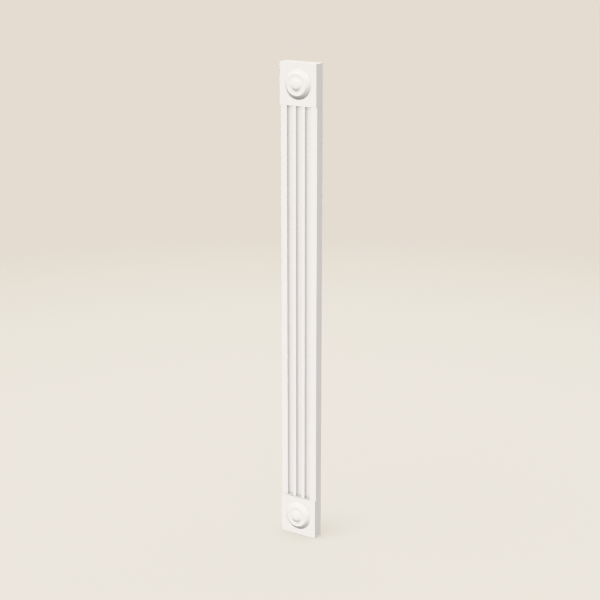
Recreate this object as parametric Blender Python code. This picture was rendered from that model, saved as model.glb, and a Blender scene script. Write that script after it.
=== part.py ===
"""Fluted pilaster with a square rosette block at each end, painted white.

Metres, +Z up. The front faces -Y. The origin is the middle of the shaft's back face, which is the
face that lies against the wall.
"""

import math

import bmesh
import bpy

# Driving dimensions
WIDTH = 0.090  # of the shaft and of both blocks, cut from boards of one width
SHAFT_LENGTH = 0.8870  # from block to block, with the joint at each end
SHAFT_THICKNESS = 0.0220
BLOCK_HEIGHT = 0.090
BLOCK_PROJECTION = 0.0034  # how far a block's face stands in front of the shaft's
BLOCK_ARRIS = 0.0003  # rounding of a block's edges
SHAFT_ARRIS = 0.0004  # rounding of the shaft's two long front edges

FLUTE_COUNT = 3
FLUTE_MARGIN = 0.0150  # the flat strip left beside the outermost flutes
FLUTE_FILLET = 0.0075  # the flat strip left between two flutes
FLUTE_DEPTH = 0.0075

ROSETTE_MARGIN = 0.0129  # flat face left between a rosette and the nearest edge of its block
RING_RISE = 0.0072  # from the block's face to the crown of the ring
DISH_DROP = 0.0005  # from the crown down to the floor of the dish
BUTTON_RISE = 0.0038  # from the floor of the dish to the top of the button

# The turned circles of a rosette, as shares of its radius
CROWN_SHARE = 0.70  # top of the ring
DISH_SHARE = 0.56  # inner foot of the ring
BUTTON_SHARE = 0.48  # outer foot of the button

# How full the two turned curves are: 2 is a parabola, and nearer 1 is straighter
RING_FULLNESS = 1.30
BUTTON_FULLNESS = 1.80

JOINT_GAP = 0.0003  # glue line between two pieces

# How finely curves are cut
FLUTE_STEPS = 16
ARRIS_STEPS = 3
ROSETTE_SIDES = 72
RING_STEPS = 9
SLOPE_STEPS = 5
BUTTON_STEPS = 10

# Edges that turn by more than this many degrees stay crisp
SHAFT_CRISP_ANGLE = 40
ROSETTE_CRISP_ANGLE = 50

WHITE_PAINT = (0.88, 0.86, 0.84, 1.0)
PAINT_ROUGHNESS = 0.45

# Worked out from the sizes above
FLUTE_WIDTH = (WIDTH - 2 * FLUTE_MARGIN - (FLUTE_COUNT - 1) * FLUTE_FILLET) / FLUTE_COUNT
BLOCK_THICKNESS = SHAFT_THICKNESS + BLOCK_PROJECTION
ROSETTE_RADIUS = min(WIDTH, BLOCK_HEIGHT) / 2 - ROSETTE_MARGIN
SHAFT_HALF = SHAFT_LENGTH / 2
BLOCK_CENTRE_Z = SHAFT_HALF + BLOCK_HEIGHT / 2


def paint(name):
    """White satin paint on wood."""
    material = bpy.data.materials.new(name)
    material.use_nodes = True
    shader = material.node_tree.nodes["Principled BSDF"]
    shader.inputs["Base Color"].default_value = WHITE_PAINT
    shader.inputs["Roughness"].default_value = PAINT_ROUGHNESS
    shader.inputs["Metallic"].default_value = 0.0
    return material


def add_piece(name, mesh_maker, place=(0, 0, 0)):
    """One piece of the pilaster: its own mesh, its own material, at its place."""
    shape = bmesh.new()
    mesh_maker(shape)
    bmesh.ops.recalc_face_normals(shape, faces=shape.faces)
    mesh = bpy.data.meshes.new(name)
    shape.to_mesh(mesh)
    shape.free()
    piece = bpy.data.objects.new(name, mesh)
    bpy.context.scene.collection.objects.link(piece)
    piece.location = place
    mesh.materials.append(paint(name + "_paint"))
    return piece


def half_ellipse(centre_x, face_y, half_width, depth, steps):
    """Points of a flute's section from its left lip to its right lip, (x, y), with +Y into the wood."""
    points = []
    for step in range(steps + 1):
        angle = math.pi * (1 - step / steps)
        x = centre_x + half_width * math.cos(angle)
        y = face_y + depth * math.sin(angle)
        points.append((x, y))
    return points


def quarter_arc(centre, radius, start, steps):
    """Points of a quarter circle in a section, (x, y), from the angle start, anticlockwise."""
    points = []
    for step in range(steps + 1):
        angle = start + math.pi / 2 * step / steps
        x = centre[0] + radius * math.cos(angle)
        y = centre[1] + radius * math.sin(angle)
        points.append((x, y))
    return points


def shaft_section():
    """The shaft's section: flat back at y = 0, rounded front edges and a row of flutes."""
    half = WIDTH / 2
    face_y = -SHAFT_THICKNESS
    first_x = -half + FLUTE_MARGIN + FLUTE_WIDTH / 2
    points = [(half, 0.0), (-half, 0.0)]
    left_centre = (-half + SHAFT_ARRIS, face_y + SHAFT_ARRIS)
    points += quarter_arc(left_centre, SHAFT_ARRIS, math.pi, ARRIS_STEPS)
    for flute in range(FLUTE_COUNT):
        centre_x = first_x + (FLUTE_WIDTH + FLUTE_FILLET) * flute
        points += half_ellipse(centre_x, face_y, FLUTE_WIDTH / 2, FLUTE_DEPTH, FLUTE_STEPS)
    right_centre = (half - SHAFT_ARRIS, face_y + SHAFT_ARRIS)
    points += quarter_arc(right_centre, SHAFT_ARRIS, 1.5 * math.pi, ARRIS_STEPS)
    return points


def shaft_shape(shape):
    """The section pulled up between the two blocks, short of each by the joint's gap."""
    bottom_z = -SHAFT_HALF + JOINT_GAP
    top_z = SHAFT_HALF - JOINT_GAP
    corners = [shape.verts.new((x, y, bottom_z)) for x, y in shaft_section()]
    end = shape.faces.new(corners)
    pulled = bmesh.ops.extrude_face_region(shape, geom=[end], use_keep_orig=True)
    moved = [part for part in pulled["geom"] if isinstance(part, bmesh.types.BMVert)]
    bmesh.ops.translate(shape, verts=moved, vec=(0, 0, top_z - bottom_z))


def block_shape(shape):
    """A square block centred on its own middle, with its back at y = 0."""
    bmesh.ops.create_cube(shape, size=1.0)
    bmesh.ops.scale(shape, verts=shape.verts, vec=(WIDTH, BLOCK_THICKNESS, BLOCK_HEIGHT))
    bmesh.ops.translate(shape, verts=shape.verts, vec=(0, -BLOCK_THICKNESS / 2, 0))


def ease(start, end, steps):
    """Points (radius, height) of a soft S from start to end, level at both ends, without start."""
    points = []
    for step in range(1, steps + 1):
        share = step / steps
        lift = (1 - math.cos(math.pi * share)) / 2
        radius = start[0] + (end[0] - start[0]) * share
        height = start[1] + (end[1] - start[1]) * lift
        points.append((radius, height))
    return points


def rosette_profile():
    """The turned profile as (radius, height off the block's face), from the foot in to the middle."""
    crown_radius = ROSETTE_RADIUS * CROWN_SHARE
    dish_radius = ROSETTE_RADIUS * DISH_SHARE
    button_radius = ROSETTE_RADIUS * BUTTON_SHARE
    floor = RING_RISE - DISH_DROP
    points = []
    for step in range(RING_STEPS + 1):
        share = 1 - step / RING_STEPS
        radius = crown_radius + (ROSETTE_RADIUS - crown_radius) * share
        points.append((radius, RING_RISE * (1 - share**RING_FULLNESS)))
    points += ease(points[-1], (dish_radius, floor), SLOPE_STEPS)
    for step in range(BUTTON_STEPS + 1):
        share = 1 - step / BUTTON_STEPS
        lift = (1 + math.cos(math.pi * share**BUTTON_FULLNESS)) / 2
        points.append((button_radius * share, floor + BUTTON_RISE * lift))
    return points


def rosette_shape(shape):
    """The profile spun about the rosette's axis, which points out of the block's face along -Y."""
    profile = rosette_profile()
    tip_height = profile[-1][1]
    rings = []
    for radius, height in profile[:-1]:
        ring = []
        for side in range(ROSETTE_SIDES):
            angle = 2 * math.pi * side / ROSETTE_SIDES
            ring.append(shape.verts.new((radius * math.cos(angle), -height, radius * math.sin(angle))))
        rings.append(ring)
    shape.faces.new(rings[0])
    for outer, inner in zip(rings, rings[1:]):
        for side in range(ROSETTE_SIDES):
            following = (side + 1) % ROSETTE_SIDES
            shape.faces.new((outer[side], outer[following], inner[following], inner[side]))
    tip = shape.verts.new((0, -tip_height, 0))
    for side in range(ROSETTE_SIDES):
        following = (side + 1) % ROSETTE_SIDES
        shape.faces.new((rings[-1][side], rings[-1][following], tip))


def round_edges(piece, width, steps):
    """Rounds every edge of a piece by a modifier, so that the width stays easy to change."""
    bevel = piece.modifiers.new("Arris", "BEVEL")
    bevel.width = width
    bevel.segments = steps
    bevel.limit_method = "ANGLE"


def smooth(piece, crisp_angle):
    """Shades a piece's curves smoothly and leaves its sharper edges crisp."""
    piece.data.shade_smooth()
    piece.data.set_sharp_from_angle(angle=math.radians(crisp_angle))


for thing in list(bpy.data.objects):
    bpy.data.objects.remove(thing, do_unlink=True)

shaft = add_piece("fluted_shaft", shaft_shape)
smooth(shaft, SHAFT_CRISP_ANGLE)

for end, side in (("bottom", -1), ("top", 1)):
    block = add_piece(f"{end}_block", block_shape, (0, 0, side * BLOCK_CENTRE_Z))
    round_edges(block, BLOCK_ARRIS, ARRIS_STEPS)
    seat_y = -BLOCK_THICKNESS - JOINT_GAP
    rosette = add_piece(f"{end}_rosette", rosette_shape, (0, seat_y, side * BLOCK_CENTRE_Z))
    smooth(rosette, ROSETTE_CRISP_ANGLE)
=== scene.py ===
"""Looks of a white fluted pilaster with a rosette block at each end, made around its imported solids.

Metres, +Z up, the front towards -Y, the back against the wall at y = 0.
"""

import math

import bmesh
import bpy
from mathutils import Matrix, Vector


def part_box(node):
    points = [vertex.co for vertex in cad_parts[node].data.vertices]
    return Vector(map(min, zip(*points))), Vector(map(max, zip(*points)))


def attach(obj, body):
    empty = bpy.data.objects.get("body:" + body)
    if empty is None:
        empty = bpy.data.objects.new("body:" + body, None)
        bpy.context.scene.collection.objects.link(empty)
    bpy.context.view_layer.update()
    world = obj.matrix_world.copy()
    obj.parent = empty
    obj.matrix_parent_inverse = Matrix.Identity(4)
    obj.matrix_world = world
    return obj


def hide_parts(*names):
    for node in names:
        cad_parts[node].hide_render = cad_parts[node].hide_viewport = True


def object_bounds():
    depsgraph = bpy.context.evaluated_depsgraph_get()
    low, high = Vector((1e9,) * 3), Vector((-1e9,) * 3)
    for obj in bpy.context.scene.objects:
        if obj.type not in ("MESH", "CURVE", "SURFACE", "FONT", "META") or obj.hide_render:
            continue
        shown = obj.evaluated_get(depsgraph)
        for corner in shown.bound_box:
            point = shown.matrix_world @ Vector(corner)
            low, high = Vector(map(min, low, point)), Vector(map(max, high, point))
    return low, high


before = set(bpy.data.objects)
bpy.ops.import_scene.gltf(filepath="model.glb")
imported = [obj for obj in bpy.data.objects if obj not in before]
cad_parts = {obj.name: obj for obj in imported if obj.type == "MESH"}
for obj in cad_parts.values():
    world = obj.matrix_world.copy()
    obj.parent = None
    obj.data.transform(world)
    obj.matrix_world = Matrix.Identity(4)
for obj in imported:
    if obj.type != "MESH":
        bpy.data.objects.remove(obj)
cad_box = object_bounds()


# Shaft: one planed board of pine, in which a round-nosed cutter has run three flutes from end to end.
# Its long front edges and the lips of the flutes are sanded round. It is glued between the two blocks
# and painted with them, so no gap shows at either end.
SHAFT_ARRIS = 0.0004
FLUTE_COUNT = 3
FLUTE_MARGIN = 0.0150  # flat face beside the outermost flutes
FLUTE_FILLET = 0.0075  # flat face between two flutes
FLUTE_DEPTH = 0.0075
FLUTE_SIDES = 96
LIP_EASE = 0.0003
EASE_STEPS = 4
EASED_ANGLE = 30  # an edge that turns by fewer degrees is shaded round
CUTTER_OVERRUN = 0.010
UPRIGHT = 0.9  # the least Z of an upright edge's direction
SAME_PLACE = 1e-5  # points nearer than this are in one place

PAINT_WHITE = "EFEBE8"
PAINT_SHADE = "EBE6E2"
PAINT_IOR = 1.47
PAINT_SPECULAR = 0.45
SATIN = (0.42, 0.50)  # lowest and highest roughness
NOISE_SPAN = (0.3, 0.7)  # nearly all of a noise lies between these
PATCH = 0.035  # across a patch where the coat is thinner
BRISTLE = 0.0016  # from ridge to ridge
RIDGE_HEIGHT = 0.00015
RIDGE_STRENGTH = 0.45
STROKE = 0.080  # length of a brush mark

PRIMER_GREY = "DEDAD2"
PRIMER_FLATNESS = 0.25  # how much rougher primer is than paint
PINE_SHOWING = "C9B592"
PINE_SHARE = 0.5  # most that the pine shows through the primer
GROWTH_RING = 0.0045  # from ring to ring
RING_FADE = (0.45, 0.65)  # from early to late wood, as values of the grain's noise
GRAIN_LENGTH = 0.30
GRAIN_WAVE = 0.6
PLANK_STEP = 37.0  # how many rings the grain moves from one board to the next
PAINT_LAP = 0.004  # how far the paint reaches onto the back, about
COAT = 0.0002  # thickness of the paint

# Painted shade: a grey mixed into the paint where shade falls, at both ends of the flutes, in their
# hollows and on the bottom block's ledge
PAINTED_SHADE_GREY = "B0ADAB"
PAINTED_SHADE_EDGE = 0.0020  # how far behind the shaft's face the painted shade is at its darkest
PAINTED_SHADE_FADE = 0.0030
FLUTE_FOOT_PAINTED_SHADE = (0.008, 0.25)  # how far the painted shade reaches along the flutes, and its darkest share
FLUTE_HEAD_PAINTED_SHADE = (0.012, 0.34)
HOLLOW_PAINTED_SHADE = 0.09
HOLLOW_EDGE = 0.0055


def linear(hex_colour):
    """An sRGB hex colour as the linear numbers that a shader takes."""
    channels = []
    for start in (0, 2, 4):
        value = int(hex_colour[start:start + 2], 16) / 255
        channels.append(value / 12.92 if value <= 0.04045 else ((value + 0.055) / 1.055) ** 2.4)
    return (*channels, 1.0)


def add_node(material, kind, values=None, links=None, **settings):
    """A new node with its settings, its sockets' values, and links from other nodes' outputs."""
    node = material.node_tree.nodes.new(kind)
    for name, value in settings.items():
        setattr(node, name, value)
    for socket, value in (values or {}).items():
        node.inputs[socket].default_value = value
    for socket, source in (links or {}).items():
        material.node_tree.links.new(source, node.inputs[socket])
    return node


def new_material(name):
    """A material with its Principled shader."""
    material = bpy.data.materials.new(name)
    material.use_nodes = True
    return material, material.node_tree.nodes["Principled BSDF"]


def primed_pine(material, place, board):
    """The colour of sanded pine under one thin coat of grey primer, with its growth rings showing.

    The number of the board moves its grain, as no two pieces come from the same part of a plank.
    """
    along = add_node(material, "ShaderNodeMapping", links={"Vector": place},
                     values={"Scale": (1 / GROWTH_RING, 1 / GROWTH_RING, 1 / GRAIN_LENGTH),
                             "Location": (board * PLANK_STEP, 0, 0)})
    grain = add_node(material, "ShaderNodeTexNoise", links={"Vector": along.outputs["Vector"]},
                     values={"Scale": 1.0, "Detail": 2.0, "Distortion": GRAIN_WAVE})
    showing = add_node(material, "ShaderNodeMapRange", links={"Value": grain.outputs["Fac"]},
                       values={"From Min": RING_FADE[0], "From Max": RING_FADE[1],
                               "To Min": 0.0, "To Max": PINE_SHARE})
    primed = add_node(material, "ShaderNodeMix", data_type="RGBA",
                      values={"A": linear(PRIMER_GREY), "B": linear(PINE_SHOWING)},
                      links={"Factor": showing.outputs["Result"]})
    return primed.outputs["Result"]


def unpainted(material, place, patches, half_width):
    """1 where only primer covers the wood, on the back inside the paint's uneven lap, else 0."""
    sides = add_node(material, "ShaderNodeSeparateXYZ", links={"Vector": place})
    on_back = add_node(material, "ShaderNodeMath", operation="GREATER_THAN",
                       links={0: sides.outputs["Y"]}, values={1: -COAT})
    aside = add_node(material, "ShaderNodeMath", operation="ABSOLUTE", links={0: sides.outputs["X"]})
    lap = add_node(material, "ShaderNodeMath", operation="MULTIPLY_ADD",
                   links={0: patches, 2: aside.outputs["Value"]}, values={1: 2 * PAINT_LAP})
    within = add_node(material, "ShaderNodeMath", operation="LESS_THAN",
                      links={0: lap.outputs["Value"]}, values={1: half_width})
    bare = add_node(material, "ShaderNodeMath", operation="MULTIPLY",
                    links={0: on_back.outputs["Value"], 1: within.outputs["Value"]})
    return bare.outputs["Value"]


def brushed_paint(name, stroke, half_width, board):
    """Satin acrylic paint, brushed along the grain of sanded pine, with only primer on the back.

    The eye gets an even warm white with a soft sheen. Close to, the brush has left faint long
    ridges, and the coat is a little thinner, so less bright, from one patch to the next. The ridges
    are drawn coarser and deeper than real ones so that they show. The paint laps unevenly onto the
    back, where the pine's growth rings show through the primer.
    """
    material, shader = new_material(name)
    place = add_node(material, "ShaderNodeTexCoord").outputs["Object"]
    strokes = add_node(material, "ShaderNodeMapping", links={"Vector": place},
                       values={"Scale": (1 / BRISTLE, 1 / BRISTLE, 1 / stroke)})
    ridges = add_node(material, "ShaderNodeTexNoise", links={"Vector": strokes.outputs["Vector"]},
                      values={"Scale": 1.0, "Detail": 3.0, "Roughness": 0.55})
    patches = add_node(material, "ShaderNodeTexNoise", links={"Vector": place},
                       values={"Scale": 1 / PATCH, "Detail": 2.0})
    painted = add_node(material, "ShaderNodeMix", data_type="RGBA",
                       values={"A": linear(PAINT_WHITE), "B": linear(PAINT_SHADE)},
                       links={"Factor": patches.outputs["Fac"]})
    bare = unpainted(material, place, patches.outputs["Fac"], half_width)
    colour = add_node(material, "ShaderNodeMix", name="paint_or_primer", data_type="RGBA",
                      links={"Factor": bare, "A": painted.outputs["Result"],
                             "B": primed_pine(material, place, board)})

    sheen = add_node(material, "ShaderNodeMapRange", links={"Value": ridges.outputs["Fac"]},
                     values={"From Min": NOISE_SPAN[0], "From Max": NOISE_SPAN[1],
                             "To Min": SATIN[0], "To Max": SATIN[1]})
    flatter = add_node(material, "ShaderNodeMath", operation="MULTIPLY_ADD",
                       links={0: bare, 2: sheen.outputs["Result"]}, values={1: PRIMER_FLATNESS})
    relief = add_node(material, "ShaderNodeBump", links={"Height": ridges.outputs["Fac"]},
                      values={"Strength": RIDGE_STRENGTH, "Distance": RIDGE_HEIGHT})
    links = material.node_tree.links
    links.new(colour.outputs["Result"], shader.inputs["Base Color"])
    links.new(flatter.outputs["Value"], shader.inputs["Roughness"])
    links.new(relief.outputs["Normal"], shader.inputs["Normal"])
    shader.inputs["IOR"].default_value = PAINT_IOR
    shader.inputs["Specular IOR Level"].default_value = PAINT_SPECULAR
    return material


def add_painted_shade(material, share, half_width, darkest_z, clear_z, darkest_y, clear_y):
    """Painted shade: a grey mixed into the paint, within half_width of the middle, and soon fading
    beyond that.

    It is darkest at darkest_z and behind darkest_y, and there is none past clear_z or before clear_y.
    """
    place = add_node(material, "ShaderNodeTexCoord").outputs["Object"]
    sides = add_node(material, "ShaderNodeSeparateXYZ", links={"Vector": place})
    by_height = add_node(material, "ShaderNodeMapRange", links={"Value": sides.outputs["Z"]},
                         interpolation_type="SMOOTHSTEP",
                         values={"From Min": darkest_z, "From Max": clear_z,
                                 "To Min": share, "To Max": 0.0})
    by_depth = add_node(material, "ShaderNodeMapRange", links={"Value": sides.outputs["Y"]},
                        interpolation_type="SMOOTHSTEP",
                        values={"From Min": darkest_y, "From Max": clear_y,
                                "To Min": 1.0, "To Max": 0.0})
    aside = add_node(material, "ShaderNodeMath", operation="ABSOLUTE", links={0: sides.outputs["X"]})
    by_side = add_node(material, "ShaderNodeMapRange", links={"Value": aside.outputs["Value"]},
                       interpolation_type="SMOOTHSTEP",
                       values={"From Min": half_width, "From Max": half_width + PAINTED_SHADE_FADE,
                               "To Min": 1.0, "To Max": 0.0})
    shade_by_place = add_node(material, "ShaderNodeMath", operation="MULTIPLY",
                       links={0: by_height.outputs["Result"], 1: by_depth.outputs["Result"]})
    shade_amount = add_node(material, "ShaderNodeMath", operation="MULTIPLY",
                      links={0: shade_by_place.outputs["Value"], 1: by_side.outputs["Result"]})
    # The painted shade goes under the primer, so only painted faces darken
    paint = material.node_tree.nodes["paint_or_primer"].inputs["A"]
    shaded_paint = add_node(material, "ShaderNodeMix", data_type="RGBA", values={"B": linear(PAINTED_SHADE_GREY)},
                     links={"Factor": shade_amount.outputs["Value"], "A": paint.links[0].from_socket})
    material.node_tree.links.new(shaded_paint.outputs["Result"], paint)


def add_box(name, low, high):
    """A box between two corners, with its place kept in its mesh."""
    bpy.ops.object.select_all(action="DESELECT")
    bpy.ops.mesh.primitive_cube_add(size=1, location=(low + high) / 2, scale=high - low)
    bpy.ops.object.transform_apply(location=True, rotation=True, scale=True)
    box = bpy.context.object
    box.name = name
    return box


def pick_edges(piece, wanted):
    """In edit mode, selects the edges whose middle and direction are the wanted ones."""
    bpy.ops.mesh.select_mode(type="EDGE")
    bpy.ops.mesh.select_all(action="DESELECT")
    cage = bmesh.from_edit_mesh(piece.data)
    for edge in cage.edges:
        first, last = (corner.co for corner in edge.verts)
        if wanted((first + last) / 2, (last - first).normalized()):
            edge.select_set(True)
    bmesh.update_edit_mesh(piece.data)


def shade_round_edges(piece):
    """Shades the rounded edges smoothly, while each large flat face beside them stays flat."""
    bpy.ops.object.shade_smooth_by_angle(angle=math.radians(EASED_ANGLE))
    flat_faces_lead = piece.modifiers.new("flat_faces_lead", "WEIGHTED_NORMAL")
    flat_faces_lead.keep_sharp = True
    bpy.ops.object.modifier_apply(modifier=flat_faces_lead.name)


def cut_away(piece, cutter):
    """Takes the cutter's space out of the piece, and then takes the cutter away."""
    bpy.ops.object.select_all(action="DESELECT")
    piece.select_set(True)
    bpy.context.view_layer.objects.active = piece
    cut = piece.modifiers.new("cut", "BOOLEAN")
    cut.operation = "DIFFERENCE"
    cut.object = cutter
    bpy.ops.object.modifier_apply(modifier=cut.name)
    bpy.data.objects.remove(cutter, do_unlink=True)


shaft_low, shaft_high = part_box("fluted_shaft")
shaft_low.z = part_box("bottom_block")[1].z
shaft_high.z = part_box("top_block")[0].z
shaft_face = shaft_low.y
shaft_middle = (shaft_low + shaft_high) / 2
shaft_length = shaft_high.z - shaft_low.z
fluted_width = shaft_high.x - shaft_low.x - 2 * FLUTE_MARGIN
flute_width = (fluted_width - (FLUTE_COUNT - 1) * FLUTE_FILLET) / FLUTE_COUNT

shaft = add_box("painted_shaft", shaft_low, shaft_high)
bpy.ops.object.mode_set(mode="EDIT")
pick_edges(shaft, lambda middle, along: abs(along.z) > UPRIGHT and middle.y < shaft_middle.y)
bpy.ops.mesh.bevel(offset=SHAFT_ARRIS, segments=EASE_STEPS)
bpy.ops.object.mode_set(mode="OBJECT")

lips = []
for flute in range(FLUTE_COUNT):
    left = shaft_low.x + FLUTE_MARGIN + flute * (flute_width + FLUTE_FILLET)
    lips += [left, left + flute_width]
    bpy.ops.object.select_all(action="DESELECT")
    bpy.ops.mesh.primitive_cylinder_add(
        vertices=FLUTE_SIDES, radius=flute_width / 2, depth=shaft_length + CUTTER_OVERRUN,
        location=(left + flute_width / 2, shaft_face, shaft_middle.z),
        scale=(1, FLUTE_DEPTH / (flute_width / 2), 1))
    cut_away(shaft, bpy.context.object)


def is_lip(middle, along):
    """Whether an edge is where a flute's curve meets the shaft's face."""
    on_face = abs(middle.y - shaft_face) < SAME_PLACE
    at_lip = min(abs(middle.x - lip) for lip in lips) < SAME_PLACE
    return abs(along.z) > UPRIGHT and on_face and at_lip


bpy.ops.object.mode_set(mode="EDIT")
pick_edges(shaft, is_lip)
bpy.ops.mesh.bevel(offset=LIP_EASE, segments=EASE_STEPS)
bpy.ops.object.mode_set(mode="OBJECT")
shade_round_edges(shaft)

shaft_paint = brushed_paint("satin_paint_on_fluted_pine", STROKE, shaft_high.x, 0)
flutes_end_x = shaft_high.x - FLUTE_MARGIN
# Painted shade: the flutes darken towards both ends, where the blocks meet them, and a little deep in
# their hollows all along
for end_z, (reach, share) in ((shaft_low.z, FLUTE_FOOT_PAINTED_SHADE), (shaft_high.z, FLUTE_HEAD_PAINTED_SHADE)):
    clear_z = end_z + math.copysign(reach, shaft_middle.z - end_z)
    add_painted_shade(shaft_paint, share, flutes_end_x, end_z, clear_z, shaft_face + PAINTED_SHADE_EDGE, shaft_face)
add_painted_shade(shaft_paint, HOLLOW_PAINTED_SHADE, flutes_end_x, shaft_high.z, shaft_high.z + COAT,
            shaft_face + HOLLOW_EDGE, shaft_face)
shaft.data.materials.append(shaft_paint)
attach(shaft, "root")
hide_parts("fluted_shaft")


# Blocks: two squares cut from thicker pine, one at each end of the shaft. They stand a little proud of
# it, so their edges need no mitre. The edges are sanded just enough for the paint to hold.
BLOCK_ARRIS = 0.0003
BLOCK_STROKE = 0.045
# Painted shade on the bottom block: darker paint on its ledge, and at the flutes' feet over the top of
# its front face
LEDGE_PAINTED_SHADE = 0.55
LEDGE_FOOT_PAINTED_SHADE = 0.60
PAINTED_SHADE_DROP = 0.0020

block_low, block_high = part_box("top_block")
top_block = add_box("painted_top_block", block_low, block_high)
bpy.ops.object.mode_set(mode="EDIT")
bpy.ops.mesh.select_all(action="SELECT")
bpy.ops.mesh.bevel(offset=BLOCK_ARRIS, segments=EASE_STEPS)
bpy.ops.object.mode_set(mode="OBJECT")
shade_round_edges(top_block)


def copy_below(piece, name, drop):
    """A copy with its own mesh, lower by drop, with its place kept in its mesh."""
    bpy.ops.object.select_all(action="DESELECT")
    piece.select_set(True)
    bpy.context.view_layer.objects.active = piece
    bpy.ops.object.duplicate()
    bpy.ops.transform.translate(value=(0, 0, -drop))
    bpy.ops.object.transform_apply(location=True, rotation=True, scale=True)
    copy = bpy.context.object
    copy.name = name
    return copy


block_drop = block_low.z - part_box("bottom_block")[0].z
bottom_block = copy_below(top_block, "painted_bottom_block", block_drop)
top_paint = brushed_paint("satin_paint_on_top_block", BLOCK_STROKE, block_high.x, 1)
top_block.data.materials.append(top_paint)
bottom_paint = brushed_paint("satin_paint_on_bottom_block", BLOCK_STROKE, block_high.x, 2)
ledge_z = block_high.z - block_drop
# Painted shade on the ledge and, below the flutes, a little way down the front
add_painted_shade(bottom_paint, LEDGE_PAINTED_SHADE, block_high.x, ledge_z, ledge_z - 2 * BLOCK_ARRIS,
            block_low.y, block_low.y - COAT)
add_painted_shade(bottom_paint, LEDGE_FOOT_PAINTED_SHADE, flutes_end_x, ledge_z - BLOCK_ARRIS, ledge_z - PAINTED_SHADE_DROP,
            block_low.y, block_low.y - COAT)
bottom_block.data.materials.append(bottom_paint)
for block, node in ((top_block, "top_block"), (bottom_block, "bottom_block")):
    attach(block, "root")
    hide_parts(node)


# Rosettes: each is turned on a lathe from one round of pine, with a raised ring, a shallow dish and a
# button in the middle. It is glued to the middle of its block before painting.
RING_RISE = 0.0072
DISH_DROP = 0.0005
CROWN_SHARE = 0.70  # the ring's top, the dish and the button, as shares of the rosette's radius
DISH_SHARE = 0.56
BUTTON_SHARE = 0.48
RING_FULLNESS = 1.30  # 2 is a parabola, and nearer 1 is straighter
BUTTON_FULLNESS = 1.80
RING_STEPS = 14
SLOPE_STEPS = 8
BUTTON_STEPS = 16
TURNED_SIDES = 128
TURNED_ANGLE = 35  # an edge that turns by fewer degrees is shaded round
SEAM_GAP = 1e-6  # corners nearer than this are merged when the turned seam is closed
TOOL_MARK = 0.0009  # from one of the chisel's rings to the next
TOOL_MARK_DEPTH = 0.00005
TOOL_MARK_STRENGTH = 0.15
WAVE_LENGTH = math.pi / 10  # of a wave texture whose scale is 1
TURNED_PATCH = 0.012
TURNED_SATIN = (0.37, 0.45)
TURNED_SPECULAR = 0.80


def rosette_profile(radius, seat, button_top):
    """The turned outline as (radius, height above the block's face), from the foot in to the middle."""
    crown = radius * CROWN_SHARE
    dish = radius * DISH_SHARE
    button = radius * BUTTON_SHARE
    ring_top = seat + RING_RISE
    dish_floor = ring_top - DISH_DROP
    points = [(radius, 0.0)]
    for step in range(RING_STEPS + 1):
        share = 1 - step / RING_STEPS
        rise = RING_RISE * (1 - share ** RING_FULLNESS)
        points.append((crown + (radius - crown) * share, seat + rise))
    for step in range(1, SLOPE_STEPS + 1):
        share = step / SLOPE_STEPS
        fall = (1 - math.cos(math.pi * share)) / 2
        points.append((crown + (dish - crown) * share, ring_top - DISH_DROP * fall))
    for step in range(BUTTON_STEPS + 1):
        share = 1 - step / BUTTON_STEPS
        lift = (1 + math.cos(math.pi * share ** BUTTON_FULLNESS)) / 2
        points.append((button * share, dish_floor + (button_top - dish_floor) * lift))
    return points


def turn(name, centre, profile):
    """Draws half of a turned outline by extruding one corner, and spins it about the lathe's axis."""
    bpy.ops.object.select_all(action="DESELECT")
    foot_radius = profile[0][0]
    bpy.ops.mesh.primitive_plane_add(size=foot_radius, location=centre + Vector((foot_radius, 0, 0)))
    bpy.ops.object.transform_apply(location=True, rotation=True, scale=True)
    turned = bpy.context.object
    turned.name = name
    bpy.ops.object.mode_set(mode="EDIT")
    bpy.ops.mesh.select_mode(type="VERT")
    bpy.ops.mesh.merge(type="CENTER")
    for (radius, height), (next_radius, next_height) in zip(profile, profile[1:]):
        step = (next_radius - radius, height - next_height, 0)
        bpy.ops.mesh.extrude_region_move(TRANSFORM_OT_translate={"value": step})
    bpy.ops.mesh.select_all(action="SELECT")
    bpy.ops.mesh.spin(steps=TURNED_SIDES, angle=2 * math.pi, center=centre, axis=(0, 1, 0))
    bpy.ops.mesh.select_all(action="SELECT")
    bpy.ops.mesh.remove_doubles(threshold=SEAM_GAP)
    pick_edges(turned, lambda middle, along: abs(middle.y - centre.y) < SAME_PLACE)
    bpy.ops.mesh.edge_face_add()
    bpy.ops.mesh.select_all(action="SELECT")
    bpy.ops.mesh.normals_make_consistent(inside=False)
    # Spin numbers its edges and faces differently each time, so they are put in one order here
    cage = bmesh.from_edit_mesh(turned.data)
    for parts in (cage.edges, cage.faces):
        in_order = sorted(parts, key=lambda part: sorted(corner.index for corner in part.verts))
        for number, part in enumerate(in_order):
            part.index = number
        parts.sort()
    bmesh.update_edit_mesh(turned.data)
    bpy.ops.object.mode_set(mode="OBJECT")
    bpy.ops.object.shade_smooth_by_angle(angle=math.radians(TURNED_ANGLE))
    return turned


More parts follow.
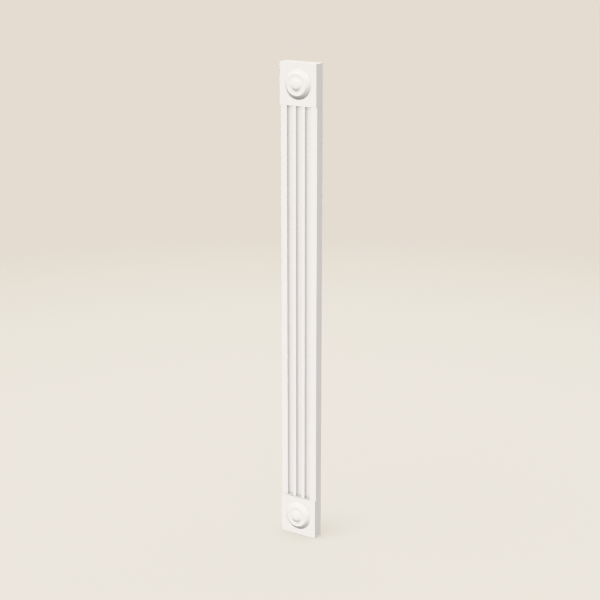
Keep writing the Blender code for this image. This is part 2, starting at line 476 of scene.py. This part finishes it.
def turned_paint(name, centre):
    """Satin acrylic paint over turned pine.

    The eye gets the same warm white, a little glossier on the curves. Close to, the chisel's fine
    rings run round the middle under the paint, drawn coarser than real ones so that they show.
    """
    material, shader = new_material(name)
    place = add_node(material, "ShaderNodeTexCoord").outputs["Object"]
    centred = add_node(material, "ShaderNodeMapping", links={"Vector": place},
                       values={"Location": -centre})
    rings = add_node(material, "ShaderNodeTexWave", links={"Vector": centred.outputs["Vector"]},
                     wave_type="RINGS", rings_direction="Y",
                     values={"Scale": WAVE_LENGTH / TOOL_MARK, "Distortion": 1.5, "Detail": 2.0,
                             "Detail Scale": 0.6})
    patches = add_node(material, "ShaderNodeTexNoise", links={"Vector": place},
                       values={"Scale": 1 / TURNED_PATCH, "Detail": 2.0})
    colour = add_node(material, "ShaderNodeMix", data_type="RGBA",
                      values={"A": linear(PAINT_WHITE), "B": linear(PAINT_SHADE)},
                      links={"Factor": patches.outputs["Fac"]})
    sheen = add_node(material, "ShaderNodeMapRange", links={"Value": patches.outputs["Fac"]},
                     values={"From Min": NOISE_SPAN[0], "From Max": NOISE_SPAN[1],
                             "To Min": TURNED_SATIN[0], "To Max": TURNED_SATIN[1]})
    relief = add_node(material, "ShaderNodeBump", links={"Height": rings.outputs["Fac"]},
                      values={"Strength": TOOL_MARK_STRENGTH, "Distance": TOOL_MARK_DEPTH})
    links = material.node_tree.links
    links.new(colour.outputs["Result"], shader.inputs["Base Color"])
    links.new(sheen.outputs["Result"], shader.inputs["Roughness"])
    links.new(relief.outputs["Normal"], shader.inputs["Normal"])
    shader.inputs["IOR"].default_value = PAINT_IOR
    shader.inputs["Specular IOR Level"].default_value = TURNED_SPECULAR
    return material


rosette_low, rosette_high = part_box("top_rosette")
rosette_middle = (rosette_low + rosette_high) / 2
rosette_seat = Vector((rosette_middle.x, block_low.y, rosette_middle.z))
rosette_radius = (rosette_high.x - rosette_low.x) / 2
glue_line = block_low.y - rosette_high.y
profile = rosette_profile(rosette_radius, glue_line, block_low.y - rosette_low.y)
top_rosette = turn("painted_top_rosette", rosette_seat, profile)
rosette_drop = rosette_low.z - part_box("bottom_rosette")[0].z
bottom_rosette = copy_below(top_rosette, "painted_bottom_rosette", rosette_drop)
for rosette, node, drop in ((top_rosette, "top_rosette", 0),
                            (bottom_rosette, "bottom_rosette", rosette_drop)):
    centre = rosette_seat - Vector((0, 0, drop))
    rosette.data.materials.append(turned_paint("satin_paint_on_" + node, centre))
    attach(rosette, "root")
    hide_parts(node)


# Stage: a wide pale floor, warm near the pilaster and a little darker far off. It is lit mostly by
# its own glow, so the pilaster's shadow on it stays as faint as in the photograph.
FLOOR_SIZE = 160
FLOOR_GLOW = 1.0
FLOOR_BASE = "CCC8C0"
NEAR_FLOOR = (1.15, "CEC9C1")  # distance from the pilaster's middle, and the glow's colour there
MIDDLE_FLOOR = (2.07, "C3BEB5")
FAR_FLOOR = (2.80, "BDB4AC")
FLOOR_REACH = 4.0  # distance at the end of the colour ramp

foot_z = cad_box[0][2]
bpy.ops.object.select_all(action="DESELECT")
bpy.ops.mesh.primitive_plane_add(size=FLOOR_SIZE, location=(0, 0, foot_z))
floor = bpy.context.object
floor.name = "floor"
floor_paper, shader = new_material("pale_floor")
place = add_node(floor_paper, "ShaderNodeTexCoord").outputs["Object"]
distance = add_node(floor_paper, "ShaderNodeVectorMath", operation="LENGTH", links={0: place})
share = add_node(floor_paper, "ShaderNodeMath", operation="DIVIDE",
                 links={0: distance.outputs["Value"]}, values={1: FLOOR_REACH})
ramp = add_node(floor_paper, "ShaderNodeValToRGB", links={"Fac": share.outputs["Value"]})
ramp.color_ramp.elements.new(MIDDLE_FLOOR[0] / FLOOR_REACH)
for stop, (reach, tint) in zip(ramp.color_ramp.elements, (NEAR_FLOOR, MIDDLE_FLOOR, FAR_FLOOR)):
    stop.position = reach / FLOOR_REACH
    stop.color = linear(tint)
floor_paper.node_tree.links.new(ramp.outputs["Color"], shader.inputs["Emission Color"])
shader.inputs["Emission Strength"].default_value = FLOOR_GLOW
shader.inputs["Base Color"].default_value = linear(FLOOR_BASE)
shader.inputs["Specular IOR Level"].default_value = 0.0
shader.inputs["Roughness"].default_value = 1.0
floor.data.materials.append(floor_paper)
floor.visible_diffuse = False
floor.visible_glossy = False
floor.visible_shadow = False


# Light: two wide lamps in front, one from each side, a weak one behind for the back, and an even glow
# that leaves hollows and corners darker. These lamps throw no shadow, as the photograph shows none
# under the top block's edge. A lamp of its own throws the faint long shadow on the floor.
GLOW_STRENGTH = 0.39
BACKDROP = "EAE2D8"
LAMP_ROUND = 37.1  # degrees from the front
LAMP_HIGH = 44.5  # degrees above the horizon
LAMP_STRENGTH = 2.60
LAMP_WIDTH = 20  # degrees across, seen from the pilaster
BACK_STRENGTH = 1.2
BACK_HIGH = 15
SHADOW_ROUND = 45
SHADOW_HIGH = 60
SHADOW_STRENGTH = 0.5
SHADOW_WIDTH = 44


def add_lamp(name, strength, round_angle, high_angle, width, lit):
    """A distant lamp, turned round from the front towards +X and raised, that lights one group."""
    data = bpy.data.lights.new(name, "SUN")
    data.energy = strength
    data.angle = math.radians(width)
    lamp = bpy.data.objects.new(name, data)
    lamp.rotation_euler = (math.radians(90 - high_angle), 0, math.radians(round_angle))
    bpy.context.scene.collection.objects.link(lamp)
    lamp.light_linking.receiver_collection = lit
    return lamp


pilaster_group = bpy.data.collections.new("pilaster_lit_by_lamps")
for piece in (shaft, top_block, bottom_block, top_rosette, bottom_rosette):
    pilaster_group.objects.link(piece)
floor_group = bpy.data.collections.new("floor_lit_by_lamp")
floor_group.objects.link(floor)
for name, strength, round_angle, high_angle in (("left_lamp", LAMP_STRENGTH, -LAMP_ROUND, LAMP_HIGH),
                                                ("right_lamp", LAMP_STRENGTH, LAMP_ROUND, LAMP_HIGH),
                                                ("back_lamp", BACK_STRENGTH, 180, BACK_HIGH)):
    lamp = add_lamp(name, strength, round_angle, high_angle, LAMP_WIDTH, pilaster_group)
    lamp.data.use_shadow = False
add_lamp("floor_lamp", SHADOW_STRENGTH, -SHADOW_ROUND, SHADOW_HIGH, SHADOW_WIDTH, floor_group)

scene = bpy.context.scene
world = bpy.data.worlds.new("studio")
world.use_nodes = True
scene.world = world
glow = world.node_tree.nodes["Background"]
glow.inputs["Color"].default_value = (1, 1, 1, 1)
glow.inputs["Strength"].default_value = GLOW_STRENGTH

# Only the camera sees the backdrop, past the floor's far edge, and it lights nothing
backdrop = add_node(world, "ShaderNodeBackground", values={"Color": linear(BACKDROP)})
seen = add_node(world, "ShaderNodeLightPath").outputs["Is Camera Ray"]
either = add_node(world, "ShaderNodeMixShader",
                  links={0: seen, 1: glow.outputs["Background"], 2: backdrop.outputs["Background"]})
surface = world.node_tree.nodes["World Output"].inputs["Surface"]
world.node_tree.links.new(either.outputs["Shader"], surface)
scene.cycles.diffuse_bounces = 0  # no light passes from one surface to another
scene.view_settings.view_transform = "Khronos PBR Neutral"


# Camera: to the right of the front and a little above, aimed just above the pilaster's middle.
CAMERA_AZIMUTH = math.radians(32.91)
CAMERA_ELEVATION = math.radians(16.50)
CAMERA_DISTANCE = 3.025
CAMERA_SENSOR = 36
CAMERA_LENS = 83.4
AIM_ASIDE = -0.0025
AIM_RISE = 0.0193

backwards = Vector((math.sin(CAMERA_AZIMUTH) * math.cos(CAMERA_ELEVATION),
                    -math.cos(CAMERA_AZIMUTH) * math.cos(CAMERA_ELEVATION),
                    math.sin(CAMERA_ELEVATION)))
sideways = Vector((math.cos(CAMERA_AZIMUTH), math.sin(CAMERA_AZIMUTH), 0))
block_middle_y = (block_low.y + block_high.y) / 2
aim = sideways * AIM_ASIDE + Vector((0, block_middle_y, AIM_RISE))
camera_data = bpy.data.cameras.new("camera")
camera_data.sensor_width = CAMERA_SENSOR
camera_data.lens = CAMERA_LENS
camera = bpy.data.objects.new("camera", camera_data)
camera.location = aim + backwards * CAMERA_DISTANCE
camera.rotation_euler = backwards.to_track_quat("Z", "Y").to_euler()
scene.collection.objects.link(camera)
scene.camera = camera
